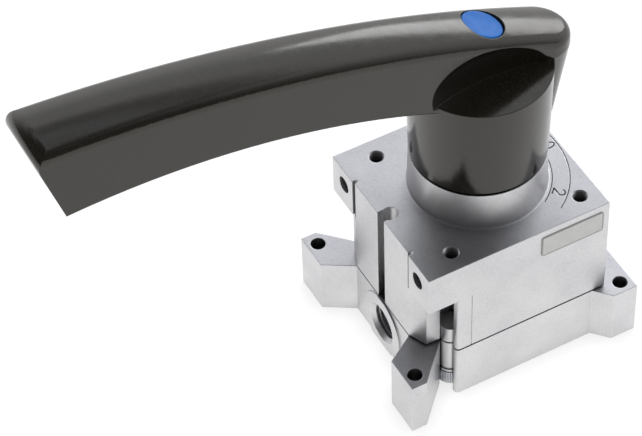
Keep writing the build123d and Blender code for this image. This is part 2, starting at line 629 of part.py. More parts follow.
def make_detent_springs():
    inner = STEM_RADIUS + BALL_BORE_WALL + FIT
    wire = BALL_SPRING_WIRE
    outer = BALL_X - BALL_RADIUS + wire / 2
    spring = coil_spring(BALL_RADIUS - 3 * wire, wire, BALL_SPRING_TURNS, inner, outer)
    placed = Pos(0, 0, BALL_Z) * Rot(0, 90, 0) * spring
    return placed + Rot(0, 0, 180) * placed


def make_thrust_washer():
    washer = tube(THRUST_RADIUS, STEM_RADIUS + 4 * RUNNING, CHAMBER_TOP - THRUST_THICKNESS, CHAMBER_TOP)
    return washer - rod(STOP_PIN_RADIUS + FIT, CHAMBER_TOP - 3, CHAMBER_TOP + 1, 0, STOP_PIN_CIRCLE)


# ---- screws ----

def cap_screw(x, y, seat, tip, radius, head_radius, head_height):
    """Socket cap screw pointing up, with its head below seat."""
    screw = rod(head_radius, seat - head_height, seat, x, y) + rod(radius, seat, tip, x, y)
    socket = Pos(x, y, seat - head_height) * RegularPolygon(SCREW_SOCKET_RADIUS, 6)
    return screw - extrude(socket, amount=SCREW_SOCKET_DEPTH, dir=(0, 0, 1))


def make_body_screws():
    screws = Part()
    seat = HEAD_POCKET_DEPTH - WASHER_THICKNESS
    for x, y in SCREW_POINTS:
        screw = cap_screw(x, y, seat, HOUSING_BOTTOM, SCREW_RADIUS, SCREW_HEAD_RADIUS, SCREW_HEAD_HEIGHT)
        screws += screw + rod(M5_MINOR_RADIUS - FIT, HOUSING_BOTTOM, BOSS_TOP - SCREW_TIP_GAP, x, y)
    return screws


def make_screw_washers():
    washers = Part()
    for x, y in SCREW_POINTS:
        washers += tube(SCREW_HEAD_RADIUS - WASHER_INSET, SCREW_RADIUS + WASHER_CLEARANCE,
                        HEAD_POCKET_DEPTH - WASHER_THICKNESS, HEAD_POCKET_DEPTH, x, y)
    return washers


# ---- lever ----

def blade_top(x):
    """Height of the blade's top line at x."""
    return BLADE_TOP_AXIS[1] + sqrt(BLADE_TOP_ARC ** 2 - (x - BLADE_TOP_AXIS[0]) ** 2)


def blade_low(x):
    """Height of the blade's bottom line at x."""
    return BLADE_LOW_AXIS[1] + sqrt(BLADE_LOW_ARC ** 2 - (x - BLADE_LOW_AXIS[0]) ** 2)


def make_blade():
    far_top = -BLADE_END
    far_low = -BLADE_END + BLADE_END_LEAN
    nose = NOSE_X + BLADE_HALF_WIDTH
    root = -sqrt((HUB_RADIUS_LOW - BLADE_ROOT_WALL) ** 2 - BLADE_HALF_WIDTH_END ** 2)
    inner = HUB_TOP - BLADE_ROOT_DEPTH
    ceiling = blade_top(BLADE_TOP_AXIS[0]) + 3 * BLADE_CROWN
    lean = BLADE_END_LEAN / (blade_top(far_top) - blade_low(far_low))
    over = far_top - lean * (ceiling - blade_top(far_top))
    side = Polyline((root, 0, blade_low(root)), (root, 0, inner), (-root, 0, inner), (-root, 0, HUB_TOP),
                    (nose, 0, HUB_TOP), (nose, 0, ceiling),
                    (over, 0, ceiling), (far_low, 0, blade_low(far_low)))
    low_middle = (far_low + root) / 2
    side += ThreePointArc((far_low, 0, blade_low(far_low)), (low_middle, 0, blade_low(low_middle)),
                          (root, 0, blade_low(root)))
    profile = extrude(make_face(side), amount=LONG / 4, dir=(0, 1, 0), both=True)

    splay = asin((BLADE_HALF_WIDTH_END - BLADE_HALF_WIDTH) / (NOSE_X + BLADE_END))
    touch_x = NOSE_X + BLADE_HALF_WIDTH * sin(splay)
    touch_y = BLADE_HALF_WIDTH * cos(splay)
    far_x = -BLADE_END - BLADE_END_LEAN
    far_y = touch_y + (touch_x - far_x) * tan(splay)
    plan = Line((far_x, -far_y), (touch_x, -touch_y))
    plan += ThreePointArc((touch_x, -touch_y), (nose, 0), (touch_x, touch_y))
    plan += Line((touch_x, touch_y), (far_x, far_y))
    plan += Line((far_x, far_y), (far_x, -far_y))
    rise = blade_top(-BLADE_END) - inner + 5
    column = Pos(0, 0, inner) * extrude(make_face(plan), amount=rise, taper=BLADE_DRAFT)
    blade = (profile & column) & crown_tool()
    blade = fillet([edge for edge in blade.edges() if on_crown(edge)], radius=BLADE_TOP_FILLET)
    low_edges = [edge for edge in blade.edges() if on_low_arc(edge) and abs((edge @ 0.5).Y) > 2]
    return fillet(low_edges, radius=BLADE_LOW_FILLET)


def crown_rise(y):
    """Rise of the crowned top at y, over its height at the blade's half width."""
    arc = (BLADE_HALF_WIDTH ** 2 + BLADE_CROWN ** 2) / (2 * BLADE_CROWN)
    return sqrt(arc ** 2 - y ** 2) - arc + BLADE_CROWN


def crown_tool():
    """Solid under the blade's crowned top: its section swept round the axis of the top arc."""
    x, z = BLADE_TOP_AXIS
    reach = 1.6 * BLADE_HALF_WIDTH
    edge = z + BLADE_TOP_ARC + crown_rise(reach)
    low = edge - 4 * reach
    section = Polyline((x, reach, edge), (x, reach, low), (x, -reach, low), (x, -reach, edge))
    section += ThreePointArc((x, -reach, edge), (x, 0, z + BLADE_TOP_ARC + BLADE_CROWN), (x, reach, edge))
    return revolve(make_face(section), axis=Axis((x, 0, z), (0, 1, 0)), revolution_arc=360)


def on_crown(edge):
    """Whether the middle of an edge lies on the crowned top."""
    middle = edge @ 0.5
    radius = sqrt((middle.X - BLADE_TOP_AXIS[0]) ** 2 + (middle.Z - BLADE_TOP_AXIS[1]) ** 2)
    return abs(radius - BLADE_TOP_ARC - crown_rise(middle.Y)) < 0.05


def on_low_arc(edge):
    """Whether the middle of an edge lies on the blade's underside."""
    middle = edge @ 0.5
    radius = sqrt((middle.X - BLADE_LOW_AXIS[0]) ** 2 + (middle.Z - BLADE_LOW_AXIS[1]) ** 2)
    return abs(radius - BLADE_LOW_ARC) < 0.05


def make_lever():
    blade = make_blade()
    hub_ends = [Circle(HUB_RADIUS_LOW), Pos(0, 0, HUB_HEIGHT) * Circle(HUB_RADIUS_HIGH)]
    hub = Pos(0, 0, HUB_BOTTOM) * loft(hub_ends)
    hub = fillet(hub.edges().sort_by(Axis.Z)[0], radius=HUB_LOW_FILLET)
    heel_low = Pos(HEEL_TIP_X, 0, HUB_BOTTOM + HEEL_TIP_RISE) * Circle(HEEL_TIP_RADIUS)
    nose_radius = BLADE_HALF_WIDTH - BLADE_ROOT_DEPTH * tan(radians(BLADE_DRAFT))
    heel_high = Pos(NOSE_X, 0, HUB_TOP) * Circle(nose_radius)
    lever = blade + hub + loft([heel_low, heel_high])

    scoop = scale(Sphere(1), by=(SCOOP_LENGTH, SCOOP_DEPTH, SCOOP_HEIGHT))
    scoop = Pos(SCOOP_X, SCOOP_SIDE, HUB_TOP) * Rot(0, SCOOP_TILT, 0) * scoop
    above_hub = block(-LONG, LONG, -LONG, LONG, HUB_TOP, LONG)
    lever -= mirrored(scoop & above_hub)
    return lever


def cap_plane():
    """Plane of the cap's top face, on the blade's slope."""
    height = blade_top(CAP_X) + BLADE_CROWN
    normal = Vector(CAP_X - BLADE_TOP_AXIS[0], 0, height - BLADE_TOP_AXIS[1]).normalized()
    return Plane(origin=Vector(CAP_X, 0, height) - normal * CAP_SUNK, x_dir=(0, -1, 0), z_dir=normal)


def bore_lever(lever):
    down = (Align.CENTER, Align.CENTER, Align.MAX)
    up = (Align.CENTER, Align.CENTER, Align.MIN)
    recess = Cylinder(CAP_RADIUS + CAP_GAP, CAP_THICKNESS + FIT, align=down)
    recess += Cylinder(CAP_RADIUS + CAP_GAP, 3, align=up)
    lever -= cap_plane() * recess
    lever -= rod(INSERT_RADIUS + FIT / 2, HUB_BOTTOM - 1, INSERT_TOP)
    lever -= rod(LEVER_SCREW_RADIUS + LEVER_SCREW_CLEARANCE, INSERT_TOP - 1, HEAD_SEAT + 1)
    return lever - rod(HEAD_BORE_RADIUS, HEAD_SEAT, blade_top(CAP_X) - 2)


def make_insert():
    insert = rod(INSERT_RADIUS, INSERT_BOTTOM, INSERT_TOP)
    insert -= square_bar(FIT, INSERT_BOTTOM - 1, INSERT_TOP - INSERT_ROOF)
    return insert - rod(LEVER_SCREW_RADIUS + LEVER_SCREW_CLEARANCE, INSERT_TOP - 3, INSERT_TOP + 1)


def make_lever_screw():
    seat = HEAD_SEAT + LEVER_WASHER_THICKNESS
    tip = STEM_TOP - LEVER_SCREW_GRIP
    screw = rod(LEVER_SCREW_HEAD_RADIUS, seat, seat + LEVER_SCREW_HEAD_HEIGHT)
    screw += rod(LEVER_SCREW_RADIUS, tip, seat)
    socket = Pos(0, 0, seat + LEVER_SCREW_HEAD_HEIGHT) * RegularPolygon(SCREW_SOCKET_RADIUS, 6)
    return screw - extrude(socket, amount=SCREW_SOCKET_DEPTH, dir=(0, 0, -1))


def make_cap():
    down = (Align.CENTER, Align.CENTER, Align.MAX)
    disc = Cylinder(CAP_RADIUS, CAP_THICKNESS, align=down)
    edge = disc.edges().group_by(Axis.Z)[-1]
    return cap_plane() * fillet(edge, radius=CAP_EDGE_FILLET)


def make_label():
    top = PLATE_TOP - LABEL_DROP
    front = -BODY_HALF_DEPTH
    plate = block(LABEL_LEFT, LABEL_LEFT + LABEL_WIDTH, front - LABEL_THICKNESS, front,
                  top - LABEL_HEIGHT, top)
    return fillet(plate.edges().filter_by(Axis.Y), radius=LABEL_CORNER)


PARTS = {
    "base_body": make_base(),
    "housing_gasket": make_gasket(),
    "upper_housing": make_housing(),
    "housing_screws": make_body_screws(),
    "screw_washers": make_screw_washers(),
    "valve_seat_plate": make_seat(),
    "seat_pins": make_seat_pins(),
    "seat_seals": make_seat_seals(),
    "rotary_slide": make_slide(),
    "slide_spring": coil_spring(SPRING_RADIUS, SPRING_WIRE, SPRING_TURNS, SLIDE_TOP, FLANGE_BOTTOM),
    "drive_pins": drive_pin_rods(DRIVE_PIN_RADIUS, SLIDE_TOP - DRIVE_PIN_DEPTH,
                                 FLANGE_BOTTOM + DRIVE_PIN_DEPTH),
    "driver_stem": make_driver(),
    "stem_o_rings": make_stem_o_rings(),
    "stem_bush": tube(BUSH_RADIUS - FIT / 2, STEM_RADIUS + RUNNING, CHAMBER_TOP, BUSH_TOP),
    "wiper_seal": tube(WIPER_RADIUS - FIT / 2, STEM_RADIUS + RUNNING, WIPER_BOTTOM, COLLAR_TOP - WIPER_SUNK),
    "thrust_washer": make_thrust_washer(),
    "detent_ring": make_detent_ring(),
    "detent_balls": make_detent_balls(),
    "detent_springs": make_detent_springs(),
    "stop_pin": rod(STOP_PIN_RADIUS, FLANGE_TOP - STOP_PIN_IN_FLANGE, CHAMBER_TOP + STOP_PIN_IN_HOUSING,
                    0, STOP_PIN_CIRCLE),
    "lever": bore_lever(make_lever()),
    "lever_insert": make_insert(),
    "lever_washer": tube(LEVER_WASHER_RADIUS, LEVER_SCREW_RADIUS + LEVER_SCREW_CLEARANCE, HEAD_SEAT,
                         HEAD_SEAT + LEVER_WASHER_THICKNESS),
    "lever_screw": make_lever_screw(),
    "lever_cap": make_cap(),
    "label_plate": make_label(),
    "position_marks": scale_engraving(SCALE_DEPTH, -FIT),
}

os.makedirs("parts", exist_ok=True)
for name, shape in PARTS.items():
    export_step(shape, f"parts/{name}.step")
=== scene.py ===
import math

import bmesh
import bpy
from mathutils import Matrix, Vector


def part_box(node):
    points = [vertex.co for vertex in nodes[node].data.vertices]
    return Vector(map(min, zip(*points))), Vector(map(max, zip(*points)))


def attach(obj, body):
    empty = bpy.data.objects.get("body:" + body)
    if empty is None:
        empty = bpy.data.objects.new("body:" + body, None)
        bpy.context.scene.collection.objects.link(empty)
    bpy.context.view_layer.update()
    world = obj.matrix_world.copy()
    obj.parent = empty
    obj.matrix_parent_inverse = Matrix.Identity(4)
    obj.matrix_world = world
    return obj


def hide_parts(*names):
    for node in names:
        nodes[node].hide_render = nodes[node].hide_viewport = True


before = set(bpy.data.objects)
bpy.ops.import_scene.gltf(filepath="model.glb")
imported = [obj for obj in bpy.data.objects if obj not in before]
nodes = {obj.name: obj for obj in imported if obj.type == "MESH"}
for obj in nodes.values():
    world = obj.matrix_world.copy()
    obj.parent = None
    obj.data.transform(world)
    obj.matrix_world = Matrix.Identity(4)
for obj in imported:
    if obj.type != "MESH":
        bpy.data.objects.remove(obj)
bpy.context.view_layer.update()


# ---- view and studio ----
# The valve stands on a white table in a pale room, seen from above its front left.
# A soft lamp fills in its front without a glare, and a wide one hangs low behind it on the right.

scene = bpy.context.scene
scene.view_settings.view_transform = "Standard"

view_turn, view_rise, view_roll = math.radians(-27.099), math.radians(48.18), math.radians(2.278)
focal_length, image_width = 2834.666, 642      # both in the image's own units
view_target_height, view_shift_right, view_shift_up, view_distance = 0.030, -0.047716, 0.008442, 0.878411
view_right = Vector((math.cos(view_turn), math.sin(view_turn), 0))
view_back = Vector((math.sin(view_turn) * math.cos(view_rise), -math.cos(view_turn) * math.cos(view_rise),
                    math.sin(view_rise)))
view_up = view_back.cross(view_right)
eye = (Vector((0, 0, view_target_height)) + view_right * view_shift_right + view_up * view_shift_up
       + view_back * view_distance)
rolled_right = view_right * math.cos(view_roll) - view_up * math.sin(view_roll)
rolled_up = view_back.cross(rolled_right)
camera_data = bpy.data.cameras.new("camera")
camera_data.sensor_width = 36
camera_data.lens = camera_data.sensor_width * focal_length / image_width
camera_data.clip_start = 0.05
camera = bpy.data.objects.new("camera", camera_data)
scene.collection.objects.link(camera)
facing = Matrix((rolled_right, rolled_up, view_back)).transposed().to_4x4()
camera.matrix_world = Matrix.Translation(eye) @ facing
scene.camera = camera


lamp_target = Vector((0, 0, 0.08))
lamp_distance = 1.6


def soft_lamp(name, bearing, rise, width, height, watts, colour):
    """Rectangular lamp aimed at the valve; bearing turns from +X towards +Y, in degrees."""
    lamp_data = bpy.data.lights.new(name, "AREA")
    lamp_data.shape = "RECTANGLE"
    lamp_data.size, lamp_data.size_y = width, height
    lamp_data.energy = watts
    lamp_data.color = colour
    lamp = bpy.data.objects.new(name, lamp_data)
    scene.collection.objects.link(lamp)
    turn, up = math.radians(bearing), math.radians(rise)
    away = Vector((math.cos(turn) * math.cos(up), math.sin(turn) * math.cos(up), math.sin(up)))
    place = lamp_target + away * lamp_distance
    lamp.matrix_world = Matrix.Translation(place) @ away.to_track_quat("Z", "Y").to_matrix().to_4x4()
    return lamp


soft_lamp("lamp_low_behind", 36, 20, 0.95, 0.45, 4.6, (0.96, 0.97, 1.0))
lamp_front = soft_lamp("lamp_front", -125, 48, 0.9, 0.9, 9.0, (1.0, 0.99, 0.97))
lamp_front.visible_glossy = False


def add_node(tree, kind, inputs=None, **settings):
    """Adds a shader node. Its inputs are plain values, or the sockets that feed them."""
    added = tree.nodes.new("ShaderNode" + kind)
    for name, value in settings.items():
        setattr(added, name, value)
    for name, value in (inputs or {}).items():
        if isinstance(value, bpy.types.NodeSocket):
            tree.links.new(value, added.inputs[name])
        elif isinstance(value, tuple) and len(value) == 3 and added.inputs[name].type == "RGBA":
            added.inputs[name].default_value = (*value, 1)
        else:
            added.inputs[name].default_value = value
    return added


room = bpy.data.worlds.new("room")
room.use_nodes = True
tree = room.node_tree
tree.nodes.clear()
place = add_node(tree, "TexCoord")
split = add_node(tree, "SeparateXYZ", {0: place.outputs["Generated"]})
ramp = add_node(tree, "ValToRGB", {0: split.outputs["Z"]})
ramp.color_ramp.elements[0].color = (1.0, 1.0, 1.0, 1)
ramp.color_ramp.elements[1].color = (0.14, 0.14, 0.16, 1)
room_bands = ((0.30, (1.15, 1.15, 1.19, 1)), (0.52, (0.96, 0.97, 1.03, 1)),
              (0.72, (1.12, 1.13, 1.20, 1)), (0.79, (0.42, 0.43, 0.47, 1)),
              (0.85, (0.42, 0.43, 0.47, 1)), (0.90, (0.86, 0.88, 0.97, 1)),
              (0.94, (0.80, 0.82, 0.90, 1)), (0.98, (0.16, 0.16, 0.18, 1)))
for rise, colour in room_bands:
    step = ramp.color_ramp.elements.new(rise)
    step.color = colour
bright_side = (0.73, 0.59, 0.0)      # the room is light behind the valve on its right
dark_level, bright_level = 0.08, 1.02
side = add_node(tree, "VectorMath", {0: place.outputs["Generated"], 1: bright_side},
                operation="DOT_PRODUCT")
strength = add_node(tree, "MapRange", {"Value": side.outputs["Value"], "From Min": -0.22, "From Max": 0.55,
                                       "To Min": dark_level, "To Max": bright_level},
                    interpolation_type="SMOOTHSTEP")
dim = add_node(tree, "Background", {"Color": ramp.outputs[0], "Strength": strength.outputs[0]})
seen = add_node(tree, "Background", {"Color": (1.0, 1.0, 1.0), "Strength": 1.0})
path = add_node(tree, "LightPath")
choose = add_node(tree, "MixShader", {0: path.outputs["Is Camera Ray"], 1: dim.outputs[0],
                                      2: seen.outputs[0]})
add_node(tree, "OutputWorld", {"Surface": choose.outputs[0]})
scene.world = room

table_reach = 4
table_glow = 0.90
table_corners = [(x * table_reach, y * table_reach, 0) for x, y in ((-1, -1), (1, -1), (1, 1), (-1, 1))]
table_mesh = bpy.data.meshes.new("table")
table_mesh.from_pydata(table_corners, [], [(0, 1, 2, 3)])
table = bpy.data.objects.new("table", table_mesh)
scene.collection.objects.link(table)
table_white = bpy.data.materials.new("table_white")
table_white.use_nodes = True
tree = table_white.node_tree
tree.nodes.clear()
matt = add_node(tree, "BsdfDiffuse", {"Color": (0.27, 0.27, 0.27)})
path = add_node(tree, "LightPath")
straight = add_node(tree, "Math", {0: path.outputs["Is Camera Ray"], 1: path.outputs["Is Glossy Ray"]},
                    operation="MAXIMUM")
# Painted contact shadow: the floor's glow is dimmed close round and under the valve.
floor_shadow_ao = add_node(tree, "AmbientOcclusion", {"Distance": 0.006}, samples=8)
painted_contact_shadow = add_node(tree, "MapRange", {"Value": floor_shadow_ao.outputs["AO"], "To Min": 0.72, "To Max": 1.0})
share = add_node(tree, "Math", {0: straight.outputs[0], 1: painted_contact_shadow.outputs[0]}, operation="MULTIPLY")
glow_strength = add_node(tree, "Math", {0: share.outputs[0], 1: table_glow}, operation="MULTIPLY")
glow = add_node(tree, "Emission", {"Color": (1.0, 1.0, 1.0), "Strength": glow_strength.outputs[0]})
both = add_node(tree, "AddShader", {0: matt.outputs[0], 1: glow.outputs[0]})
add_node(tree, "OutputMaterial", {"Surface": both.outputs[0]})
table_mesh.materials.append(table_white)


# ---- base casting ----
# A light-metal die casting with four feet and four threaded ports, milled on its faces
# and bead blasted. It is pale and satin, and its bores and recesses carry painted shade.

def new_surface(name, colour, roughness, metallic):
    """Material with a Principled shader; its plain values are set on the shader itself."""
    material = bpy.data.materials.new(name)
    material.use_nodes = True
    shader = material.node_tree.nodes["Principled BSDF"]
    shader.inputs["Base Color"].default_value = (*colour, 1)
    shader.inputs["Roughness"].default_value = roughness
    shader.inputs["Metallic"].default_value = metallic
    return material, material.node_tree, shader


def grain(tree, waves, detail=3.0, stretch=(1.0, 1.0, 1.0)):
    """Noise on Object coordinates, with so many waves in a metre; stretch scales each axis."""
    place = add_node(tree, "TexCoord")
    mapping = add_node(tree, "Mapping", {"Vector": place.outputs["Object"], "Scale": stretch})
    noise = add_node(tree, "TexNoise", {"Vector": mapping.outputs[0], "Scale": waves, "Detail": detail})
    return noise.outputs[0]


def spread(tree, value, low, high, start=0.35, end=0.65):
    """Maps start..end of a value to low..high."""
    change = add_node(tree, "MapRange", {"Value": value, "From Min": start, "From Max": end,
                                         "To Min": low, "To Max": high})
    return change.outputs[0]


def mixed(tree, factor, first, second, blend="MIX"):
    """Colour between two colours or colour sockets."""
    mix = add_node(tree, "Mix", data_type="RGBA", blend_type=blend)
    for name, value in (("Factor", factor), ("A", first), ("B", second)):
        slot = [each for each in mix.inputs if each.name == name and each.enabled][0]
        if isinstance(value, bpy.types.NodeSocket):
            tree.links.new(value, slot)
        else:
            slot.default_value = (*value, 1) if isinstance(value, tuple) else value
    return [each for each in mix.outputs if each.enabled][0]


def bumped(tree, height, distance, strength, normal=None):
    inputs = {"Height": height, "Distance": distance, "Strength": strength}
    if normal is not None:
        inputs["Normal"] = normal
    return add_node(tree, "Bump", inputs).outputs[0]


def feed(shader, colour=None, roughness=None, normal=None):
    """Links sockets to a shader's colour, roughness and normal."""
    for name, socket in (("Base Color", colour), ("Roughness", roughness), ("Normal", normal)):
        if socket is not None:
            shader.id_data.links.new(socket, shader.inputs[name])


def blasted_casting(name, dark, light, joint=None, ring_from=None):
    """Bead-blasted light metal. Its lower edge at the height joint is darkened with painted shade
    of the gap there, and above the height ring_from it is turned, with fine rings."""
    material, tree, shader = new_surface(name, light, 0.29, 1.0)
    cloud = grain(tree, 55)
    speck = grain(tree, 1900, 2.0)
    colour = mixed(tree, spread(tree, cloud, 0, 1), dark, light)
    colour = mixed(tree, spread(tree, speck, 0, 0.5, 0.52, 0.68), colour, (0.78, 0.78, 0.78))
    pits = spread(tree, grain(tree, 1300, 4.0), 0, 0.32, 0.57, 0.72)
    colour = mixed(tree, pits, colour, (0.44, 0.44, 0.44))

    # The edges are lightened in colour, partly as wear and partly as a painted highlight.
    rounded = add_node(tree, "Bevel", {"Radius": 0.00035}, samples=6)
    true_face = add_node(tree, "NewGeometry")
    facing = add_node(tree, "VectorMath", {0: rounded.outputs[0], 1: true_face.outputs["Normal"]},
                      operation="DOT_PRODUCT")
    edge_wear_and_highlight = spread(tree, facing.outputs["Value"], 0.55, 0.0, 0.90, 0.995)
    colour = mixed(tree, edge_wear_and_highlight, colour, (0.86, 0.86, 0.86))

    # Painted shade: bores, pockets and recesses are darkened by how closed in they are.
    depth = add_node(tree, "AmbientOcclusion", {"Distance": 0.007}, samples=8)
    painted_recess_shade = spread(tree, depth.outputs["AO"], 0.02, 1.0, 0.10, 0.42)
    colour = mixed(tree, 1.0, colour, painted_recess_shade, "MULTIPLY")
    place = add_node(tree, "TexCoord")
    split = add_node(tree, "SeparateXYZ", {0: place.outputs["Object"]})
    # Painted shade: just above the joint the lower edge is darkened, as the shadow in the gap.
    if joint is not None:
        painted_joint_shade = spread(tree, split.outputs["Z"], 0.03, 1.0, joint + 0.00018, joint + 0.00030)
        colour = mixed(tree, 1.0, colour, painted_joint_shade, "MULTIPLY")
    feed(shader, colour, spread(tree, grain(tree, 140), 0.39, 0.46))

    normal = bumped(tree, speck, 0.00005, 0.60, rounded.outputs[0])
    normal = bumped(tree, grain(tree, 900, 2.0), 0.00004, 0.30, normal)
    if ring_from is not None:
        turned = spread(tree, split.outputs["Z"], 0, 1, ring_from, ring_from + 0.0002)
        rings = add_node(tree, "Math", {0: grain(tree, 5200, 2.0, (0.004, 0.004, 1.0)), 1: turned},
                         operation="MULTIPLY")
        normal = bumped(tree, rings.outputs[0], 0.00003, 0.5, normal)
    feed(shader, normal=normal)
    return material


def dress(material, *names):
    for name in names:
        nodes[name].data.materials.clear()
        nodes[name].data.materials.append(material)


dress(blasted_casting("base_casting", (0.66, 0.66, 0.67), (0.735, 0.735, 0.74)), "base_body")


# ---- gasket ----
# A thin punched sheet of dark fibre, drawn in from the edges, between base and housing.

gasket_fibre, tree, shader = new_surface("gasket_fibre", (0.012, 0.012, 0.012), 0.9, 0.0)
fibres = grain(tree, 900, 4.0, (1.0, 0.15, 1.0))
feed(shader, mixed(tree, spread(tree, fibres, 0, 1), (0.008, 0.008, 0.008), (0.022, 0.021, 0.020)),
     normal=bumped(tree, fibres, 0.00005, 0.5))
dress(gasket_fibre, "housing_gasket")


# ---- upper housing ----
# The second casting: the valve chamber, the mounting plate with its tapped holes
# and the turned collar that the lever's hub stands over.

plate_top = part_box("position_marks")[1][2]
housing_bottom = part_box("upper_housing")[0][2]
dress(blasted_casting("housing_casting", (0.63, 0.63, 0.64), (0.70, 0.70, 0.705), housing_bottom,
                      plate_top + 0.0008), "upper_housing")


# ---- position scale ----
# Fine arcs and figures engraved in the mounting plate and filled with black paint.

mark_black, tree, shader = new_surface("mark_black", (0.012, 0.012, 0.012), 0.55, 0.0)
worn = grain(tree, 1800, 3.0)
feed(shader, mixed(tree, spread(tree, worn, 0, 1, 0.5, 0.8), (0.010, 0.010, 0.010), (0.06, 0.06, 0.06)),
     normal=bumped(tree, worn, 0.00003, 0.4))
dress(mark_black, "position_marks")


# ---- label ----
# A thin pale film label on the front face, left blank, with a fine grey band of painted shadow round its
# edge.

label_low, label_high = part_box("label_plate")
label_middle = [(low + high) / 2 for low, high in zip(label_low, label_high)]
shade_border_width = 0.0005
label_film, tree, shader = new_surface("label_film", (0.84, 0.84, 0.82), 0.42, 0.35)
place = add_node(tree, "TexCoord")
centred = add_node(tree, "VectorMath", {0: place.outputs["Object"], 1: tuple(label_middle)},
                   operation="SUBTRACT")
size = add_node(tree, "VectorMath", {0: centred.outputs[0]}, operation="ABSOLUTE")
split = add_node(tree, "SeparateXYZ", {0: size.outputs[0]})
half_width = (label_high[0] - label_low[0]) / 2 - shade_border_width
half_height = (label_high[2] - label_low[2]) / 2 - shade_border_width
past_end = add_node(tree, "Math", {0: split.outputs["X"], 1: half_width}, operation="SUBTRACT")
past_top = add_node(tree, "Math", {0: split.outputs["Z"], 1: half_height}, operation="SUBTRACT")
past = add_node(tree, "Math", {0: past_end.outputs[0], 1: past_top.outputs[0]}, operation="MAXIMUM")
shade_border_blur = 0.00005
# Painted shadow: a grey band along the label's edge.
painted_border_shade = spread(tree, past.outputs[0], 0, 1, -shade_border_blur, shade_border_blur)
film = mixed(tree, spread(tree, grain(tree, 400), 0, 1), (0.82, 0.82, 0.80), (0.86, 0.86, 0.84))
feed(shader, mixed(tree, painted_border_shade, film, (0.50, 0.50, 0.49)), spread(tree, grain(tree, 900), 0.36, 0.48),
     bumped(tree, grain(tree, 700), 0.00004, 0.25))
dress(label_film, "label_plate")


# ---- body screws and washers ----
# Four cap screws with knurled heads, zinc plated, come up from below in deep pockets.
# Each stands on a plain washer.

def plated_steel(name, dark, light, roughness):
    """Turned and plated steel with fine tool marks."""
    material, tree, shader = new_surface(name, light, roughness, 1.0)
    patch = grain(tree, 260)
    feed(shader, mixed(tree, spread(tree, patch, 0, 1), dark, light),
         spread(tree, grain(tree, 800), roughness - 0.05, roughness + 0.08))
    rounded = add_node(tree, "Bevel", {"Radius": 0.00015}, samples=4)
    marks = grain(tree, 3000, 2.0, (0.1, 0.1, 1.0))
    feed(shader, normal=bumped(tree, marks, 0.00002, 0.4, rounded.outputs[0]))
    return material


screw_zinc = plated_steel("screw_zinc", (0.42, 0.43, 0.46), (0.58, 0.59, 0.62), 0.30)
dress(screw_zinc, "housing_screws")
dress(plated_steel("washer_steel", (0.50, 0.50, 0.51), (0.62, 0.62, 0.63), 0.28), "screw_washers")

screw_low, screw_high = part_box("housing_screws")
screw_head_radius = 0.00425
knurl_ribs = 36
knurl_radius = 0.00016
knurl_height = 0.0040
knurl_bottom = 0.0004

knurl_tree = bpy.data.node_groups.new("head_knurl", "GeometryNodeTree")
for label, kind in (("Screws", "NodeSocketGeometry"), ("Head Radius", "NodeSocketFloat"),
                    ("Ribs", "NodeSocketInt"), ("Rib Radius", "NodeSocketFloat"),
                    ("Rib Height", "NodeSocketFloat"), ("Finish", "NodeSocketMaterial")):
    knurl_tree.interface.new_socket(label, in_out="INPUT", socket_type=kind)
knurl_tree.interface.new_socket("Knurls", in_out="OUTPUT", socket_type="NodeSocketGeometry")
given = knurl_tree.nodes.new("NodeGroupInput")
ring = knurl_tree.nodes.new("GeometryNodeCurvePrimitiveCircle")
ring_points = knurl_tree.nodes.new("GeometryNodeCurveToPoints")
ring_points.mode = "EVALUATED"
rib = knurl_tree.nodes.new("GeometryNodeMeshCylinder")
rib.inputs["Vertices"].default_value = 6
ribs_round = knurl_tree.nodes.new("GeometryNodeInstanceOnPoints")
one_head = knurl_tree.nodes.new("GeometryNodeRealizeInstances")
heads = knurl_tree.nodes.new("GeometryNodeInstanceOnPoints")
whole = knurl_tree.nodes.new("GeometryNodeRealizeInstances")
finish = knurl_tree.nodes.new("GeometryNodeSetMaterial")
result = knurl_tree.nodes.new("NodeGroupOutput")
for source, target in ((given.outputs["Ribs"], ring.inputs["Resolution"]),
                       (given.outputs["Head Radius"], ring.inputs["Radius"]),
                       (ring.outputs["Curve"], ring_points.inputs["Curve"]),
                       (given.outputs["Rib Radius"], rib.inputs["Radius"]),
                       (given.outputs["Rib Height"], rib.inputs["Depth"]),
                       (ring_points.outputs["Points"], ribs_round.inputs["Points"]),
                       (rib.outputs["Mesh"], ribs_round.inputs["Instance"]),
                       (ribs_round.outputs["Instances"], one_head.inputs["Geometry"]),
                       (given.outputs["Screws"], heads.inputs["Points"]),
                       (one_head.outputs["Geometry"], heads.inputs["Instance"]),
                       (heads.outputs["Instances"], whole.inputs["Geometry"]),
                       (whole.outputs["Geometry"], finish.inputs["Geometry"]),
                       (given.outputs["Finish"], finish.inputs["Material"]),
                       (finish.outputs["Geometry"], result.inputs["Knurls"])):
    knurl_tree.links.new(source, target)


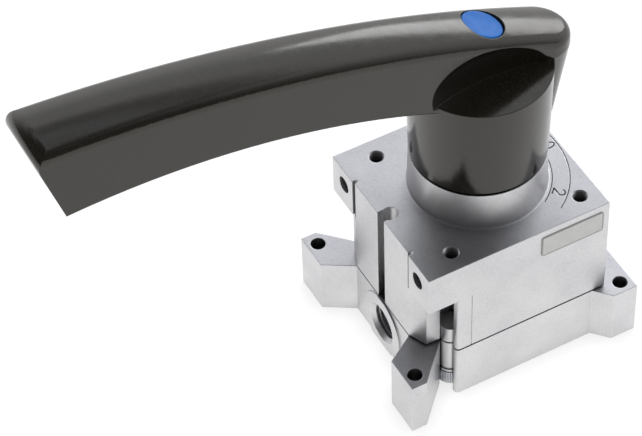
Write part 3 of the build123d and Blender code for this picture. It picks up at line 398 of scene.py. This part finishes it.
def knurled_heads(name, centres, head_radius, ribs, rib_radius, rib_height, material, body):
    """Upright ribs round each screw head; centres are the middles of the heads."""
    points = bpy.data.meshes.new(name + "_centres")
    points.from_pydata(centres, [], [])
    carrier = bpy.data.objects.new(name + "_carrier", points)
    scene.collection.objects.link(carrier)
    modifier = carrier.modifiers.new("knurl", "NODES")
    modifier.node_group = knurl_tree
    values = {"Head Radius": head_radius, "Ribs": ribs, "Rib Radius": rib_radius, "Rib Height": rib_height,
              "Finish": material}
    for socket in knurl_tree.interface.items_tree:
        if socket.in_out == "INPUT" and socket.name in values:
            modifier[socket.identifier] = values[socket.name]
    graph = bpy.context.evaluated_depsgraph_get()
    knurl_mesh = bpy.data.meshes.new_from_object(carrier.evaluated_get(graph))
    bpy.data.objects.remove(carrier)
    knurl = bpy.data.objects.new(name, knurl_mesh)
    scene.collection.objects.link(knurl)
    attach(knurl, body)
    return knurl


head_middle = screw_low[2] + knurl_bottom + knurl_height / 2
screw_centres = [(x, y, head_middle)
                 for x in (screw_low[0] + screw_head_radius, screw_high[0] - screw_head_radius)
                 for y in (screw_low[1] + screw_head_radius, screw_high[1] - screw_head_radius)]
knurled_heads("housing_screw_knurls", screw_centres, screw_head_radius, knurl_ribs, knurl_radius,
              knurl_height, screw_zinc, "body")


# ---- valve seat, its pins and seals ----
# A lapped steel plate pinned to the base, with a rubber ring under each of its holes.

dress(plated_steel("lapped_steel", (0.50, 0.50, 0.51), (0.60, 0.60, 0.61), 0.16), "valve_seat_plate")
dress(plated_steel("pin_steel", (0.45, 0.45, 0.46), (0.56, 0.56, 0.57), 0.22),
      "seat_pins", "drive_pins", "stop_pin")


def black_rubber(name, roughness):
    """Moulded rubber with a slightly uneven sheen."""
    material, tree, shader = new_surface(name, (0.014, 0.014, 0.014), roughness, 0.0)
    skin = grain(tree, 1200)
    feed(shader, mixed(tree, spread(tree, skin, 0, 1), (0.010, 0.010, 0.010), (0.020, 0.020, 0.020)),
         spread(tree, grain(tree, 500), roughness - 0.06, roughness + 0.06),
         bumped(tree, skin, 0.00003, 0.4))
    return material


dress(black_rubber("seal_rubber", 0.55), "seat_seals", "stem_o_rings")


# ---- rotary slide and its spring ----
# A bronze disc with two kidney pockets in its lapped underside, pressed down by a spring.

slide_bronze, tree, shader = new_surface("slide_bronze", (0.50, 0.33, 0.16), 0.28, 1.0)
patch = grain(tree, 180)
feed(shader, mixed(tree, spread(tree, patch, 0, 1), (0.44, 0.29, 0.14), (0.55, 0.37, 0.19)),
     spread(tree, grain(tree, 700), 0.22, 0.34), bumped(tree, grain(tree, 2600, 2.0), 0.00002, 0.4))
dress(slide_bronze, "rotary_slide")
dress(plated_steel("spring_wire", (0.30, 0.30, 0.31), (0.42, 0.42, 0.43), 0.30),
      "slide_spring", "detent_springs")


# ---- stem, bush and wiper ----
# The turned steel stem carries the lever. It runs in a plastic bush with two rings and
# bears up on a plastic thrust washer, and a rubber wiper closes the collar's top.

dress(plated_steel("stem_steel", (0.48, 0.48, 0.49), (0.60, 0.60, 0.61), 0.24), "driver_stem")
bush_plastic, tree, shader = new_surface("bush_plastic", (0.55, 0.53, 0.47), 0.45, 0.0)
flow = grain(tree, 120, 4.0)
feed(shader, mixed(tree, spread(tree, flow, 0, 1), (0.50, 0.48, 0.42), (0.60, 0.58, 0.52)),
     normal=bumped(tree, grain(tree, 900), 0.00003, 0.3))
dress(bush_plastic, "stem_bush", "thrust_washer")
dress(black_rubber("wiper_rubber", 0.62), "wiper_seal")


# ---- detent ----
# Two steel balls on springs snap into the notches of a hardened ring.

dress(plated_steel("hardened_steel", (0.34, 0.34, 0.35), (0.46, 0.46, 0.47), 0.20), "detent_ring")
dress(plated_steel("ball_steel", (0.58, 0.58, 0.59), (0.66, 0.66, 0.67), 0.10), "detent_balls")


# ---- lever ----
# One light-metal casting: a hub over the stem and a long upswept blade as the handle.
# It is painted with a glossy near-black enamel that keeps a faint orange-peel skin.

enamel, tree, shader = new_surface("lever_enamel", (0.0150, 0.0137, 0.0100), 0.16, 0.0)
shader.inputs["Specular IOR Level"].default_value = 0.64
shader.inputs["Specular Tint"].default_value = (1.0, 0.97, 0.91, 1)
cloud = grain(tree, 80)
dust = grain(tree, 3600, 2.0)
colour = mixed(tree, spread(tree, cloud, 0, 1), (0.0135, 0.0123, 0.0090), (0.0165, 0.0151, 0.0110))
colour = mixed(tree, spread(tree, dust, 0, 0.35, 0.58, 0.78), colour, (0.11, 0.11, 0.10))
feed(shader, colour, spread(tree, grain(tree, 300), 0.13, 0.19))
rounded = add_node(tree, "Bevel", {"Radius": 0.0004}, samples=6)
normal = bumped(tree, grain(tree, 700, 2.0), 0.00004, 0.20, rounded.outputs[0])
feed(shader, normal=bumped(tree, dust, 0.00001, 0.35, normal))
dress(enamel, "lever")


# ---- lever insert and screw ----
# A steel sleeve with a square hole, fixed in the hub, and the screw and washer that
# hold the lever on the stem, under the cap.

dress(plated_steel("insert_steel", (0.46, 0.46, 0.47), (0.58, 0.58, 0.59), 0.30),
      "lever_insert", "lever_washer")
dress(screw_zinc, "lever_screw")
lever_screw_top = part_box("lever_screw")[1][2]
lever_head_middle = lever_screw_top - knurl_bottom - knurl_height / 2
knurled_heads("lever_screw_knurls", [(0, 0, lever_head_middle)], screw_head_radius, knurl_ribs, knurl_radius,
              knurl_height, screw_zinc, "lever_group")


# ---- lever cap ----
# A moulded blue plastic disc, slightly dished inside a rounded rim, pressed into the
# recess over the lever's screw.

cap_low, cap_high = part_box("lever_cap")
cap_tilt = math.radians(21.37)      # the blade's slope at the cap
cap_radius = 0.00635
cap_thickness = 0.0022
cap_middle = (Vector(cap_low) + Vector(cap_high)) / 2
cap_axis = Vector((math.sin(cap_tilt), 0, math.cos(cap_tilt)))
cap_profile = [(0.0, -0.00022), (0.0030, -0.00019), (0.0050, -0.00012), (0.0054, -0.00004), (0.0057, 0.0),
               (0.0060, -0.00003), (0.00622, -0.00012), (0.00633, -0.00026), (cap_radius, -0.00045),
               (cap_radius, -cap_thickness), (0.0, -cap_thickness)]
cap_steps = 72
shape = bmesh.new()
line = [shape.verts.new((radius, 0, height + cap_thickness / 2)) for radius, height in cap_profile]
for first, second in zip(line, line[1:]):
    shape.edges.new((first, second))
bmesh.ops.spin(shape, geom=shape.verts[:] + shape.edges[:], cent=(0, 0, 0), axis=(0, 0, 1),
               angle=2 * math.pi, steps=cap_steps, use_merge=True)
bmesh.ops.remove_doubles(shape, verts=shape.verts, dist=1e-6)
bmesh.ops.recalc_face_normals(shape, faces=shape.faces)
for face in shape.faces:
    face.smooth = True
shape.transform(Matrix.Translation(cap_middle) @ Matrix.Rotation(cap_tilt, 4, "Y"))
cap_mesh = bpy.data.meshes.new("cap_disc")
shape.to_mesh(cap_mesh)
shape.free()
cap_mesh.set_sharp_from_angle(angle=math.radians(50))
cap_disc = bpy.data.objects.new("cap_disc", cap_mesh)
scene.collection.objects.link(cap_disc)
cap_blue, tree, shader = new_surface("cap_blue", (0.024, 0.20, 0.68), 0.50, 0.0)
shader.inputs["Specular IOR Level"].default_value = 0.25
cloud = grain(tree, 300)
feed(shader, mixed(tree, spread(tree, cloud, 0, 1), (0.020, 0.185, 0.65), (0.028, 0.215, 0.71)),
     spread(tree, grain(tree, 500), 0.45, 0.56), bumped(tree, grain(tree, 1600), 0.00003, 0.3))
cap_mesh.materials.append(cap_blue)
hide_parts("lever_cap")
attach(cap_disc, "lever_group")
